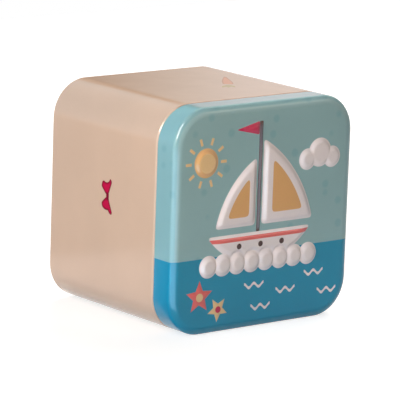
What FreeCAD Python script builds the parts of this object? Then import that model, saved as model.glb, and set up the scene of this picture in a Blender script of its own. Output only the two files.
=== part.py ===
import FreeCAD, Part
import math
import os
import re

import Sketcher

# A square tin money box lying on one side wall, in millimetres. The slip lid faces -Y, the base is at
# the back, +Z is up, and the origin is under the middle of the whole tin.
# Depth is told in stations: distances forward of the back rim.
# Across the tin, an inset is a distance inwards from the tin's rounded square outline.

SIZES = {
    # The tin as a whole
    "tin_width": 100,
    "tin_depth": 88,
    "corner_radius": 17,
    "plate_thickness": 0.3,
    # Lid
    "lid_depth": 12,
    "lid_edge_radius": 1.7,
    "curl_diameter": 1.3,
    "border_width": 2.2,
    "panel_raise": 0.8,
    "emboss_slope": 45,
    # Fit of the lid on the neck
    "lid_clearance": 0.15,
    "hem_gap": 0.25,
    "neck_length": 9,
    # Wall
    "mouth_hem": 1.6,
    "shoulder_radius": 1,
    "lock_seam_width": 5,
    "lock_seam_groove": 0.4,
    "lock_seam_sink": 0.12,
    # Folded joint of wall and base
    "base_recess": 2.6,
    "fold_clearance": 0.03,
    "return_gap": 0.4,
    "rim_flat": 0.096,
    "mouth_flat": 0.06,
    # Base
    "field_inset": 10,
    "field_depth": 0.9,
    "slot_length": 36,
    "slot_width": 5,
    "slot_drop": 24,
    "slot_collar": 1.6,
    # Relief on the lid, measured from the middle of the lid
    "relief_height": 1.3,
    "mast_x": -3,
    "mast_width": 2,
    "mast_top": 42,
    "mast_raise": 0.6,
    "sail_gap": 1.8,
    "sail_foot_z": -4,
    "main_luff": 38,
    "main_foot": 29,
    "main_leech_radius": 60,
    "jib_luff": 30,
    "jib_foot": 22,
    "jib_leech_radius": 45,
    "pennant_length": 13,
    "pennant_hoist": 6,
    "deck_z": -7,
    "hull_x": -2,
    "hull_length": 58,
    "hull_depth": 14,
    "foam_z": -20,
    "foam_radius": 5,
    "foam_pitch": 8,
    "foam_count": 8,
    "sun_x": -33,
    "sun_z": 26,
    "sun_radius": 6.5,
    "cloud_x": 31,
    "cloud_z": 25,
    "cloud_radius": 6.5,
    "cloud_puff_radius": 4.8,
    "cloud_puff_x": 7,
    "cloud_puff_drop": 2.5,
}

# Stations
SHOULDER = "(tin_depth - lid_depth - hem_gap)"
MOUTH = f"({SHOULDER} + neck_length)"
LID_HEM = "(tin_depth - lid_depth)"
PANEL_FRONT = "(tin_depth + panel_raise)"
BASE_FRONT = "(base_recess + plate_thickness)"
FIELD_FRONT = f"({BASE_FRONT} + field_depth)"
MIDDLE = "((tin_depth + panel_raise + relief_height) / 2)"

# Insets
NECK_INSET = "(curl_diameter + lid_clearance)"
UPSTAND_INSET = "(plate_thickness + fold_clearance)"
RETURN_INSET = "(2 * plate_thickness + 2 * fold_clearance)"
FOLD_INSET = f"({RETURN_INSET} + plate_thickness)"
RIM_RADIUS = f"(({FOLD_INSET} - rim_flat) / 2)"
MOUTH_RADIUS = "((2 * plate_thickness - mouth_flat) / 2)"

CENTRE_Z = "(tin_width / 2)"
CORNER_REACH = "(tin_width / 2 - corner_radius)"

doc = FreeCAD.newDocument("tin_money_box")
sheet = doc.addObject("Spreadsheet::Sheet", "Sizes")
for row, (alias, size) in enumerate(SIZES.items(), start=1):
    sheet.set(f"A{row}", alias)
    sheet.set(f"B{row}", str(size))
    sheet.setAlias(f"B{row}", alias)
doc.recompute()


def bound(formula):
    """The formula with each size's name as a reference to its cell."""
    return re.sub(r"[a-z_]+", lambda word: f"Sizes.{word[0]}" if word[0] in SIZES else word[0], formula)


def number(formula):
    return float(sheet.evalExpression(bound(formula)))


def point(u, v):
    return FreeCAD.Vector(number(u), number(v), 0)


def new_sketch(body, name, role, offset):
    sketch = body.newObject("Sketcher::SketchObject", name)
    plane = next(feature for feature in body.Origin.OriginFeatures if feature.Role == role)
    sketch.AttachmentSupport = (plane, [""])
    sketch.MapMode = "FlatFace"
    sketch.setExpression("AttachmentOffset.Base.z", bound(offset))
    return sketch


def section_sketch(body, name, station):
    """A sketch across the tin: its axes are X and Z, and it looks forward."""
    return new_sketch(body, name, "XZ_Plane", f"{station} - {MIDDLE}")


def dimension(sketch, formula, kind, *where):
    index = sketch.addConstraint(Sketcher.Constraint(kind, *where, number(formula)))
    sketch.setExpression(f"Constraints[{index}]", bound(formula))


def lock_point(sketch, geometry, position, u, v):
    dimension(sketch, u, "DistanceX", -1, 1, geometry, position)
    dimension(sketch, v, "DistanceY", -1, 1, geometry, position)


def arc_between(start, end, radius):
    """The arc from start to end that bulges to the right of the straight way."""
    chord = end - start
    rise = math.sqrt(radius ** 2 - (chord.Length / 2) ** 2)
    to_left = FreeCAD.Vector(-chord.y, chord.x, 0).normalize()
    centre = (start + end) / 2 + to_left * rise
    circle = Part.Circle(centre, FreeCAD.Vector(0, 0, 1), radius)
    return Part.ArcOfCircle(circle, circle.parameter(start), circle.parameter(end))


def add_loop(sketch, corners, radii):
    """A closed outline through the corners, taken anticlockwise. Each edge is straight, or has a radius."""
    points = [point(u, v) for u, v in corners]
    edges = []
    for start, end, radius in zip(points, points[1:] + points[:1], radii):
        line = arc_between(start, end, number(radius)) if radius else Part.LineSegment(start, end)
        edges.append(sketch.addGeometry(line))
    for edge, following in zip(edges, edges[1:] + edges[:1]):
        sketch.addConstraint(Sketcher.Constraint("Coincident", edge, 2, following, 1))
    for edge, (u, v), radius in zip(edges, corners, radii):
        lock_point(sketch, edge, 1, u, v)
        if radius:
            dimension(sketch, radius, "Radius", edge)


def add_circle(sketch, u, v, radius):
    circle = sketch.addGeometry(Part.Circle(point(u, v), FreeCAD.Vector(0, 0, 1), number(radius)))
    lock_point(sketch, circle, 3, u, v)
    dimension(sketch, radius, "Radius", circle)


def add_rectangle(sketch, left, right, low, high):
    add_loop(sketch, [(left, low), (right, low), (right, high), (left, high)], [None] * 4)


def add_obround(sketch, length, width, v):
    """A level slot shape of that length and width, on the Z axis at the height v."""
    end = f"({length} - {width}) / 2"
    low = f"{v} - {width} / 2"
    high = f"{v} + {width} / 2"
    points = [point(f"-({end})", low), point(end, low), point(end, high), point(f"-({end})", high)]
    radius = number(f"{width} / 2")
    edges = [
        sketch.addGeometry(Part.LineSegment(points[0], points[1])),
        sketch.addGeometry(arc_between(points[1], points[2], radius)),
        sketch.addGeometry(Part.LineSegment(points[2], points[3])),
        sketch.addGeometry(arc_between(points[3], points[0], radius)),
    ]
    for edge, following in zip(edges, edges[1:] + edges[:1]):
        sketch.addConstraint(Sketcher.Constraint("Tangent", edge, 2, following, 1))
    for arc, side in ((edges[1], end), (edges[3], f"-({end})")):
        lock_point(sketch, arc, 3, side, v)
    dimension(sketch, f"{width} / 2", "Radius", edges[1])


def add_outline(sketch, inset):
    """The tin's rounded square, drawn in by the inset. Its corners keep their centres."""
    reach = number(CORNER_REACH)
    middle = number(CENTRE_Z)
    radius = number(f"corner_radius - ({inset})")
    arcs = []
    quarters = ((1, -1), (1, 1), (-1, 1), (-1, -1))
    for turn, (side, level) in enumerate(quarters, start=-1):
        centre = FreeCAD.Vector(side * reach, middle + level * reach, 0)
        circle = Part.Circle(centre, FreeCAD.Vector(0, 0, 1), radius)
        arc = Part.ArcOfCircle(circle, turn * math.pi / 2, (turn + 1) * math.pi / 2)
        arcs.append(sketch.addGeometry(arc))
    for arc, following in zip(arcs, arcs[1:] + arcs[:1]):
        start = sketch.Geometry[arc].EndPoint
        end = sketch.Geometry[following].StartPoint
        line = sketch.addGeometry(Part.LineSegment(start, end))
        sketch.addConstraint(Sketcher.Constraint("Tangent", arc, 2, line, 1))
        sketch.addConstraint(Sketcher.Constraint("Tangent", line, 2, following, 1))
    for arc, (side, level) in zip(arcs, quarters):
        lock_point(sketch, arc, 3, f"{side} * {CORNER_REACH}", f"{CENTRE_Z} + {level} * {CORNER_REACH}")
    for arc in arcs[1:]:
        sketch.addConstraint(Sketcher.Constraint("Equal", arcs[0], arc))
    dimension(sketch, f"corner_radius - ({inset})", "Radius", arcs[0])


def outline_sketch(body, name, station, *insets):
    sketch = section_sketch(body, name, station)
    for inset in insets:
        add_outline(sketch, inset)
    return sketch


def extrude(body, kind, sketch, length, forward, slope=None):
    """A Pad or Pocket of the sketch, forward or back, drawn in by the slope where there is one."""
    feature = body.newObject(f"PartDesign::{kind}", f"{sketch.Name}_{kind.lower()}")
    feature.Profile = sketch
    feature.setExpression("Length", bound(length))
    along_normal = kind == "Pad"
    feature.Reversed = forward != along_normal
    if slope:
        feature.setExpression("TaperAngle", bound(f"-{slope}"))
    doc.recompute()
    return feature


def pad(body, sketch, length, slope=None):
    return extrude(body, "Pad", sketch, length, True, slope)


def cut_back(body, sketch, length):
    return extrude(body, "Pocket", sketch, length, False)


def cut_forward(body, sketch, length, slope=None):
    return extrude(body, "Pocket", sketch, length, True, slope)


def outline_edges(shape, station, inset):
    """The names of the edges that run round the tin at that station and inset."""
    y = number(f"{MIDDLE} - ({station})")
    half = number(f"tin_width / 2 - ({inset})")
    middle = number(CENTRE_Z)
    near = number("plate_thickness / 20")
    straight = number(CORNER_REACH)
    radius = number(f"corner_radius - ({inset})")
    names = []
    for index, edge in enumerate(shape.Edges, start=1):
        spot = edge.valueAt((edge.FirstParameter + edge.LastParameter) / 2)
        box = edge.BoundBox
        if abs(box.YMin - y) > near or abs(box.YMax - y) > near:
            continue
        across = abs(spot.x)
        up = abs(spot.z - middle)
        beyond = FreeCAD.Vector(max(across - straight, 0), max(up - straight, 0), 0)
        if max(across, up) <= half + near and abs(beyond.Length - radius) < near:
            names.append(f"Edge{index}")
    return names


def round_edges(body, name, radius, *places):
    """A fillet on the edges round the tin at each (station, inset)."""
    base = body.Tip
    fillet = body.newObject("PartDesign::Fillet", name)
    names = [edge for place in places for edge in outline_edges(base.Shape, *place)]
    fillet.Base = (base, names)
    fillet.setExpression("Radius", bound(radius))
    doc.recompute()


def new_body(name):
    body = doc.addObject("PartDesign::Body", name)
    body.Label = name
    body.Placement = FreeCAD.Placement()
    return body


def make_body_wall():
    body = new_body("body_wall")
    pad(body, outline_sketch(body, "wall", "0", "0"), SHOULDER)
    round_edges(body, "back_rim", RIM_RADIUS, ("0", "0"))
    chamber = outline_sketch(body, "chamber", f"{SHOULDER} - plate_thickness", "plate_thickness")
    cut_back(body, chamber, f"{SHOULDER} - 2 * plate_thickness")
    inner_shoulder = f"{SHOULDER} - plate_thickness", "plate_thickness"
    round_edges(body, "inner_shoulder_bend", "shoulder_radius - plate_thickness", inner_shoulder)
    round_edges(body, "shoulder_bend", "shoulder_radius", (SHOULDER, "0"))
    pad(body, outline_sketch(body, "neck", SHOULDER, NECK_INSET), "neck_length")
    mouth = outline_sketch(body, "mouth", MOUTH, f"{NECK_INSET} + plate_thickness")
    cut_back(body, mouth, "neck_length + plate_thickness")
    back_opening = outline_sketch(body, "back_opening", "plate_thickness", FOLD_INSET)
    cut_back(body, back_opening, "plate_thickness")

    fold_return = outline_sketch(body, "fold_return", "plate_thickness", RETURN_INSET, FOLD_INSET)
    pad(body, fold_return, "base_recess - return_gap - plate_thickness")
    round_edges(body, "inner_rim", RIM_RADIUS, ("0", FOLD_INSET))
    hem_insets = (f"{NECK_INSET} + plate_thickness", f"{NECK_INSET} + 2 * plate_thickness")
    mouth_fold = outline_sketch(body, "mouth_fold", f"{MOUTH} - mouth_hem", *hem_insets)
    pad(body, mouth_fold, "mouth_hem")
    mouth_round = (MOUTH, NECK_INSET), (MOUTH, f"{NECK_INSET} + 2 * plate_thickness")
    round_edges(body, "mouth_edge", MOUTH_RADIUS, *mouth_round)

    seam_start = f"({BASE_FRONT} + return_gap)"
    lock_seam = section_sketch(body, "lock_seam", seam_start)
    add_rectangle(lock_seam, "-lock_seam_width / 2", "lock_seam_width / 2",
                  "plate_thickness", "3 * plate_thickness")
    pad(body, lock_seam, f"{SHOULDER} - shoulder_radius - {seam_start}")
    groove = section_sketch(body, "seam_groove", SHOULDER)
    add_rectangle(groove, "-lock_seam_width / 2 - lock_seam_groove", "-lock_seam_width / 2",
                  "-lock_seam_sink", "lock_seam_sink")
    cut_back(body, groove, SHOULDER)
    return body


def make_base_plate():
    body = new_body("base_plate")
    upstand = outline_sketch(body, "upstand", UPSTAND_INSET, UPSTAND_INSET,
                             f"{UPSTAND_INSET} + plate_thickness")
    pad(body, upstand, f"base_recess - {UPSTAND_INSET}")
    pad(body, outline_sketch(body, "plate", "base_recess", UPSTAND_INSET), "plate_thickness")
    field = outline_sketch(body, "field", BASE_FRONT, "field_inset")
    pad(body, field, "field_depth", "emboss_slope")
    field_back = outline_sketch(body, "field_back", "base_recess", "field_inset")
    cut_forward(body, field_back, "field_depth", "emboss_slope")

    slot_z = "tin_width - slot_drop"
    collar = section_sketch(body, "slot_collar_edge", FIELD_FRONT)
    add_obround(collar, "(slot_length + 2 * plate_thickness)", "(slot_width + 2 * plate_thickness)", slot_z)
    pad(body, collar, "slot_collar")
    slot = section_sketch(body, "coin_slot", f"{FIELD_FRONT} + slot_collar")
    add_obround(slot, "slot_length", "slot_width", slot_z)
    cut_back(body, slot, "slot_collar + plate_thickness + field_depth")
    return body


def draw_mainsail(sketch):
    luff = "(mast_x + sail_gap)"
    foot = f"({CENTRE_Z} + sail_foot_z)"
    corners = [(luff, foot), (f"{luff} + main_foot", foot), (luff, f"{foot} + main_luff")]
    add_loop(sketch, corners, [None, "main_leech_radius", None])


def draw_jib(sketch):
    luff = "(mast_x - sail_gap)"
    foot = f"({CENTRE_Z} + sail_foot_z)"
    corners = [(f"{luff} - jib_foot", foot), (luff, foot), (luff, f"{foot} + jib_luff")]
    add_loop(sketch, corners, [None, None, "jib_leech_radius"])


def draw_hull(sketch):
    deck = f"({CENTRE_Z} + deck_z)"
    corners = [("hull_x - hull_length / 2", deck), ("hull_x + hull_length / 2", deck)]
    bilge_radius = "((hull_length ^ 2 / 4 + hull_depth ^ 2) / (2 * hull_depth))"
    add_loop(sketch, corners, [bilge_radius, None])


def draw_pennant(sketch):
    hoist = "(mast_x - mast_width / 2)"
    top = f"({CENTRE_Z} + mast_top)"
    corners = [(f"{hoist} - pennant_length", f"{top} - pennant_hoist / 2"),
               (hoist, f"{top} - pennant_hoist"), (hoist, top)]
    add_loop(sketch, corners, [None] * 3)


def draw_sun(sketch):
    add_circle(sketch, "sun_x", f"{CENTRE_Z} + sun_z", "sun_radius")


def draw_cloud(sketch):
    add_circle(sketch, "cloud_x", f"{CENTRE_Z} + cloud_z", "cloud_radius")


def draw_left_puff(sketch):
    add_circle(sketch, "cloud_x - cloud_puff_x", f"{CENTRE_Z} + cloud_z - cloud_puff_drop", "cloud_puff_radius")


def draw_right_puff(sketch):
    add_circle(sketch, "cloud_x + cloud_puff_x", f"{CENTRE_Z} + cloud_z - cloud_puff_drop", "cloud_puff_radius")


def draw_foam(sketch):
    first = "hull_x - foam_pitch * (foam_count - 1) / 2"
    add_circle(sketch, first, f"{CENTRE_Z} + foam_z", "foam_radius")


def draw_mast(sketch):
    add_rectangle(sketch, "mast_x - mast_width / 2", "mast_x + mast_width / 2",
                  f"{CENTRE_Z} + deck_z", f"{CENTRE_Z} + mast_top")


RELIEF = {
    "mast": (draw_mast, "mast_raise"),
    "mainsail": (draw_mainsail, "relief_height"),
    "jib": (draw_jib, "relief_height"),
    "pennant": (draw_pennant, "relief_height"),
    "hull": (draw_hull, "relief_height"),
    "sun": (draw_sun, "relief_height"),
    "cloud": (draw_cloud, "relief_height"),
    "left_puff": (draw_left_puff, "relief_height"),
    "right_puff": (draw_right_puff, "relief_height"),
    "foam": (draw_foam, "relief_height"),
}


def repeat_foam(body, lobe):
    """The row of foam lobes along the waterline, from the first one."""
    row = body.newObject("PartDesign::LinearPattern", f"{lobe.Name}_row")
    row.Originals = [lobe]
    row.Direction = (lobe.Profile[0], ["H_Axis"])
    row.setExpression("Length", bound("foam_pitch * (foam_count - 1)"))
    row.setExpression("Occurrences", bound("foam_count"))
    body.Tip = row
    doc.recompute()


def add_relief(body):
    """The sailing boat pressed out of the panel: raised in front, hollow behind, one sheet thick."""
    for name, (draw, height) in RELIEF.items():
        sketch = section_sketch(body, name, PANEL_FRONT)
        draw(sketch)
        raised = pad(body, sketch, height, "emboss_slope")
        if name == "foam":
            repeat_foam(body, raised)
    for name, (draw, height) in RELIEF.items():
        sketch = section_sketch(body, f"{name}_back", f"{PANEL_FRONT} - plate_thickness")
        draw(sketch)
        hollow = cut_forward(body, sketch, height, "emboss_slope")
        if name == "foam":
            repeat_foam(body, hollow)


def add_curl(body):
    """The lid's hem, rolled inwards for three quarters of a turn into an open tube."""
    curl_station = f"({LID_HEM} + curl_diameter / 2)"
    path = outline_sketch(body, "curl_path", curl_station, "0")
    section = new_sketch(body, "curl_section", "YZ_Plane", "0")
    centre_y = f"{MIDDLE} - {curl_station}"
    outer_radius = "curl_diameter / 2"
    arcs = []
    for radius in (outer_radius, f"{outer_radius} - plate_thickness"):
        circle = Part.Circle(point(centre_y, outer_radius), FreeCAD.Vector(0, 0, 1), number(radius))
        arc = section.addGeometry(Part.ArcOfCircle(circle, -math.pi / 2, math.pi))
        lock_point(section, arc, 3, centre_y, outer_radius)
        dimension(section, radius, "Radius", arc)
        arcs.append(arc)
    ends = ((1, "StartPoint", "Vertical"), (2, "EndPoint", "Horizontal"))
    for position, end, direction in ends:
        line = Part.LineSegment(*[getattr(section.Geometry[arc], end) for arc in arcs])
        edge = section.addGeometry(line)
        section.addConstraint(Sketcher.Constraint("Coincident", arcs[0], position, edge, 1))
        section.addConstraint(Sketcher.Constraint("Coincident", arcs[1], position, edge, 2))
        section.addConstraint(Sketcher.Constraint(direction, edge))
        section.addConstraint(Sketcher.Constraint("PointOnObject", arcs[0], 3, edge))
    roll = body.newObject("PartDesign::AdditivePipe", "curl")
    roll.Profile = section
    roll.Spine = path
    doc.recompute()


def make_lid():
    body = new_body("lid")
    skirt = outline_sketch(body, "skirt", f"{LID_HEM} + curl_diameter / 2", "0")
    pad(body, skirt, "lid_depth - curl_diameter / 2")
    cavity = outline_sketch(body, "cavity", "tin_depth - plate_thickness", "plate_thickness")
    cut_back(body, cavity, "lid_depth")
    inner_bend = "lid_edge_radius - plate_thickness"
    round_edges(body, "inner_edge_bend", inner_bend, ("tin_depth - plate_thickness", "plate_thickness"))
    round_edges(body, "edge_bend", "lid_edge_radius", ("tin_depth", "0"))
    pad(body, outline_sketch(body, "panel", "tin_depth", "border_width"), "panel_raise", "emboss_slope")
    panel_back = outline_sketch(body, "panel_back", "tin_depth - plate_thickness", "border_width")
    cut_forward(body, panel_back, "panel_raise", "emboss_slope")
    add_curl(body)
    add_relief(body)
    return body


def check(bodies):
    failed = [item.Name for item in doc.Objects if {"Invalid", "Error"} & set(item.State)]
    if failed:
        raise RuntimeError(f"these did not build: {failed}")
    for body in bodies:
        if body.Shape.isNull() or not body.Shape.isValid():
            raise RuntimeError(f"{body.Label} has no valid shape")


bodies = [make_body_wall(), make_base_plate(), make_lid()]
doc.recompute()
check(bodies)
os.makedirs("parts", exist_ok=True)
for body in bodies:
    body.Shape.exportStep(f"parts/{body.Label}.step")
    print(body.Label, "solids", len(body.Shape.Solids), "volume", round(body.Shape.Volume, 2))
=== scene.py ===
import math

import bpy
import numpy as np
from mathutils import Matrix, Vector
from mathutils.geometry import delaunay_2d_cdt


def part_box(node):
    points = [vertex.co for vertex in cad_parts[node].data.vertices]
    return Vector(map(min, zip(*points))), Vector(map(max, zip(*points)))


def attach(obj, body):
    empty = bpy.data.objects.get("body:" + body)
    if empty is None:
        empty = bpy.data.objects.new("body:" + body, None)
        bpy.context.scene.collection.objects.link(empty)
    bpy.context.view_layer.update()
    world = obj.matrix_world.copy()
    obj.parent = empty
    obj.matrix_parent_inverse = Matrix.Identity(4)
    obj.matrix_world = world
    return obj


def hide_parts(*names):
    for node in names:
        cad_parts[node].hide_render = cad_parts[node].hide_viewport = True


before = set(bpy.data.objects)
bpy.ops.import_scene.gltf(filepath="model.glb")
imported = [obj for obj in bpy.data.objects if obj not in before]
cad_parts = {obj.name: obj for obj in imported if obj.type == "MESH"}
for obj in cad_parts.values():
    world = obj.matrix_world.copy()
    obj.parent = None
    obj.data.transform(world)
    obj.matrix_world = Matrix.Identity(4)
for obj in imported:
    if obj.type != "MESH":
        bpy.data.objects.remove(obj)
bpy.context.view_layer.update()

MM = 0.001

# Sizes that the solids share, in millimetres
CORNER_RADIUS = 17.0
PLATE = 0.3
EDGE_RADIUS = 1.7
CURL_RADIUS = 0.65
PANEL_RAISE = 0.8
RELIEF_HEIGHT = 1.3
NECK_INSET = 1.45
HEM_GAP = 0.25
MOUTH_HEM = 1.6
SHOULDER_RADIUS = 1.0
FOLD_INSET = 0.96
RETURN_REACH = 2.2
BASE_RECESS = 2.6
FIELD_INSET = 10.0
FIELD_DEPTH = 0.9
SLOT_LENGTH = 36.0
SLOT_WIDTH = 5.0
SLOT_DROP = 24.0
SLOT_COLLAR = 1.6
LOCK_SEAM_WIDTH = 5.0
LOCK_SEAM_GROOVE = 0.4
LOCK_SEAM_SINK = 0.12
RETURN_GAP = 0.4

# Places read from the frame, in millimetres: X across, Y into the tin from the lid, Z up
wall_low, wall_high = (np.array(corner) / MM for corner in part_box("body_wall"))
lid_low, lid_high = (np.array(corner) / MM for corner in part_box("lid"))
HALF = (wall_high[0] - wall_low[0]) / 2
CENTRE_Z = (wall_low[2] + wall_high[2]) / 2
REACH = HALF - CORNER_RADIUS
BACK = wall_high[1]
MOUTH = wall_low[1]
HEM = lid_high[1]
SHOULDER = HEM + HEM_GAP
PANEL_Y = lid_low[1] + RELIEF_HEIGHT
BORDER_Y = PANEL_Y + PANEL_RAISE


def rgb(red, green, blue):
    """A screen colour, 0 to 255, as the linear colour that a shader takes."""
    steps = [part / 255 for part in (red, green, blue)]
    linear = [part / 12.92 if part <= 0.04045 else ((part + 0.055) / 1.055) ** 2.4 for part in steps]
    return (*linear, 1.0)


# Print colours, and three that paint light and shade where marked
BEIGE = rgb(216, 187, 166)
TEAL = rgb(138, 186, 196)
# A copy of the skirt's teal retuned for the light on the lid's front face: painted light, the same ink as
# the skirt
PANEL_TEAL_PAINTED_LIGHT = rgb(149, 188, 196)
TEAL_SPOT = rgb(116, 170, 184)
BLUE = rgb(14, 146, 188)
WHITE = rgb(239, 234, 241)
TAN = rgb(226, 178, 116)
BROWN = rgb(84, 52, 44)
CRIMSON = rgb(200, 12, 72)
DEEP_CRIMSON = rgb(164, 14, 60)
DARK_CRIMSON = rgb(128, 16, 48)
CORAL = rgb(230, 108, 104)
CREAM = rgb(236, 204, 152)
ORANGE = rgb(224, 154, 110)
RUST = rgb(202, 148, 110)
LEAF = rgb(194, 174, 122)
# Painted shade under the lid's hem, on the top
PAINTED_HEM_SHADE = rgb(150, 122, 108)
# Painted highlight along the wall's shoulder beside the lid, on the sides
PAINTED_SHOULDER_HIGHLIGHT = rgb(240, 226, 214)


# Fields: expressions in u and v, in millimetres, that give numbers for a mesh and nodes for a material.
# The field of a shape is below 0 inside it, and about the distance from its outline elsewhere.


class Field:
    """One step of an expression, named as the Math node that does the same."""

    def __init__(self, kind, *terms):
        self.kind = kind
        self.terms = terms

    def __add__(self, other):
        return Field("ADD", self, other)

    def __sub__(self, other):
        return Field("SUBTRACT", self, other)

    def __rsub__(self, other):
        return Field("SUBTRACT", other, self)

    def __mul__(self, other):
        return Field("MULTIPLY", self, other)

    def __neg__(self):
        return Field("MULTIPLY", self, -1.0)

    def __abs__(self):
        return Field("ABSOLUTE", self)


U = Field("U")
V = Field("V")


def smooth_low(a, b, blend):
    """The lower of two values, with the crease between them rounded as the Math node does it."""
    overlap = np.maximum(blend - np.abs(a - b), 0) / blend
    return np.minimum(a, b) - overlap ** 3 * blend / 6


def ping_pong(a, scale):
    return scale - np.abs(np.mod(a, 2 * scale) - scale)


NUMBERS = {
    "ADD": np.add,
    "SUBTRACT": np.subtract,
    "MULTIPLY": np.multiply,
    "ABSOLUTE": np.abs,
    "SQRT": np.sqrt,
    "MINIMUM": np.minimum,
    "MAXIMUM": np.maximum,
    "SMOOTH_MAX": lambda a, b, blend: -smooth_low(-a, -b, blend),
    "PINGPONG": ping_pong,
    "ARCTAN2": np.arctan2,
    "COSINE": np.cos,
    "SINE": np.sin,
}


def numbers(field, u, v):
    """The field's values at arrays of points."""
    if not isinstance(field, Field):
        return field
    if field.kind in "UV":
        return u if field.kind == "U" else v
    return NUMBERS[field.kind](*[numbers(term, u, v) for term in field.terms])


def lowest(*fields):
    """All the shapes together."""
    result = fields[0]
    for field in fields[1:]:
        result = Field("MINIMUM", result, field)
    return result


def highest(*fields, blend=None):
    """Where all the shapes overlap, with its corners rounded by the blend."""
    result = fields[0]
    for field in fields[1:]:
        result = Field("SMOOTH_MAX", result, field, blend) if blend else Field("MAXIMUM", result, field)
    return result


def distance(a, b):
    return Field("SQRT", a * a + b * b)


def disc(u, v, radius):
    return distance(U - u, V - v) - radius


def beyond(point, towards, u=U, v=V):
    """How far past the point, along a direction."""
    length = math.hypot(*towards)
    return (u - point[0]) * (towards[0] / length) + (v - point[1]) * (towards[1] / length)


def polygon(*corners, blend, u=U, v=V):
    """A convex shape with its corners taken anticlockwise."""
    sides = []
    for start, end in zip(corners, corners[1:] + corners[:1]):
        sides.append(beyond(start, (end[1] - start[1], start[0] - end[0]), u, v))
    return highest(*sides, blend=blend)


def turned(u, v, degrees):
    """Local coordinates about a point, turned anticlockwise."""
    cos = math.cos(math.radians(degrees))
    sin = math.sin(math.radians(degrees))
    return (U - u) * cos + (V - v) * sin, (V - v) * cos - (U - u) * sin


def star(u, v, tip, valley, arms, degrees):
    """A star with straight arms that narrow from the valleys to the tips."""
    along, across = turned(u, v, degrees)
    half_turn = math.pi / arms
    angle = Field("PINGPONG", Field("ARCTAN2", across, along), half_turn)
    reach = distance(along, across)
    rise = valley * math.sin(half_turn)
    run = tip - valley * math.cos(half_turn)
    length = math.hypot(rise, run)
    edge = Field("COSINE", angle) * (rise / length) + Field("SINE", angle) * (run / length)
    return reach * edge - tip * rise / length


def sun_rays(u, v, inner, outer, width, count):
    """Short bars round a point, from an inner to an outer radius."""
    angle = Field("PINGPONG", Field("ARCTAN2", V - v, U - u), math.pi / count)
    reach = distance(U - u, V - v)
    along = abs(reach - (inner + outer) / 2) - (outer - inner) / 2
    across = reach * Field("SINE", angle) - width / 2
    return highest(along, across, blend=RAY_ROUND)


def wavelet(u, v, length, swing, width):
    """A line with two waves. Its slope thins it, which WAVELET_LEAN makes up for."""
    along = U - u
    crest = Field("COSINE", along * (4 * math.pi / length)) * swing
    across = abs(V - v - crest) * WAVELET_LEAN - width / 2
    return highest(across, abs(along) - length / 2, blend=WAVELET_ROUND)


def arc_centre(start, end, radius):
    """The centre of the arc from start to end that bulges to the right of the straight way."""
    middle = (Vector(start) + Vector(end)) / 2
    chord = Vector(end) - Vector(start)
    rise = math.sqrt(radius ** 2 - (chord.length / 2) ** 2)
    return middle + Vector((-chord.y, chord.x)).normalized() * rise


# The picture on the lid, in millimetres from the lid's middle, with the outlines of the solids
WATERLINE = -16.0
MAST_U = -3.0
MAST_WIDTH = 2.0
MAST_TOP = 42.0
SAIL_GAP = 1.8
SAIL_FOOT = -4.0
MAIN_LUFF, MAIN_FOOT, MAIN_LEECH = 38.0, 29.0, 60.0
JIB_LUFF, JIB_FOOT, JIB_LEECH = 30.0, 22.0, 45.0
PENNANT_LENGTH, PENNANT_HOIST = 13.0, 6.0
DECK = -7.0
HULL_U, HULL_LENGTH, HULL_DEPTH = -2.0, 58.0, 14.0
FOAM_V, FOAM_RADIUS, FOAM_PITCH, FOAM_COUNT = -20.0, 5.0, 8.0, 8
SUN_U, SUN_V, SUN_RADIUS = -33.0, 26.0, 6.5
CLOUD_U, CLOUD_V, CLOUD_RADIUS = 31.0, 25.0, 6.5
PUFF_RADIUS, PUFF_U, PUFF_DROP = 4.8, 7.0, 2.5
SAIL_ROUND, MAST_ROUND, PENNANT_ROUND = 3.0, 0.8, 1.2

# Its smaller print, in the same millimetres
RAY_INNER, RAY_OUTER, RAY_WIDTH, RAY_COUNT, RAY_ROUND = 8.0, 11.2, 1.3, 10, 0.4
SUN_BORDER, MAIN_BORDER, JIB_BORDER = 2.2, 5.0, 4.4
STRIPE_DROP, STRIPE_WIDTH = 2.2, 1.8
PORTHOLE_DROP, PORTHOLE_RADIUS, PORTHOLE_PITCH = 5.4, 1.3, 12.0
WAVELET_PLACES = ((-4, -31), (14, -35), (30, -29), (38, -38), (0, -41))
WAVELET_LENGTH, WAVELET_SWING, WAVELET_WIDTH = 11.0, 0.9, 1.1
WAVELET_LEAN, WAVELET_ROUND = 0.85, 0.6
STAR_ARMS = 5
CORAL_STAR_PLACE, CORAL_STAR_TIP, CORAL_STAR_VALLEY, CORAL_STAR_TURN = (-34.5, -33.0), 7.4, 3.4, 18.0
CREAM_STAR_PLACE, CREAM_STAR_TIP, CREAM_STAR_VALLEY, CREAM_STAR_TURN = (-24.0, -39.5), 5.6, 2.6, 50.0
CORAL_STAR_EYE, CREAM_STAR_EYE = 1.9, 1.5


def mainsail():
    luff = MAST_U + SAIL_GAP
    clew = (luff + MAIN_FOOT, SAIL_FOOT)
    head = (luff, SAIL_FOOT + MAIN_LUFF)
    leech = disc(*arc_centre(clew, head, MAIN_LEECH), MAIN_LEECH)
    return highest(luff - U, SAIL_FOOT - V, leech, blend=SAIL_ROUND)


def jib():
    luff = MAST_U - SAIL_GAP
    tack = (luff - JIB_FOOT, SAIL_FOOT)
    head = (luff, SAIL_FOOT + JIB_LUFF)
    leech = disc(*arc_centre(head, tack, JIB_LEECH), JIB_LEECH)
    return highest(U - luff, SAIL_FOOT - V, leech, blend=SAIL_ROUND)


def hull():
    bilge = (HULL_LENGTH ** 2 / 4 + HULL_DEPTH ** 2) / (2 * HULL_DEPTH)
    return highest(V - DECK, disc(HULL_U, DECK - HULL_DEPTH + bilge, bilge), blend=SAIL_ROUND)


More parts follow.
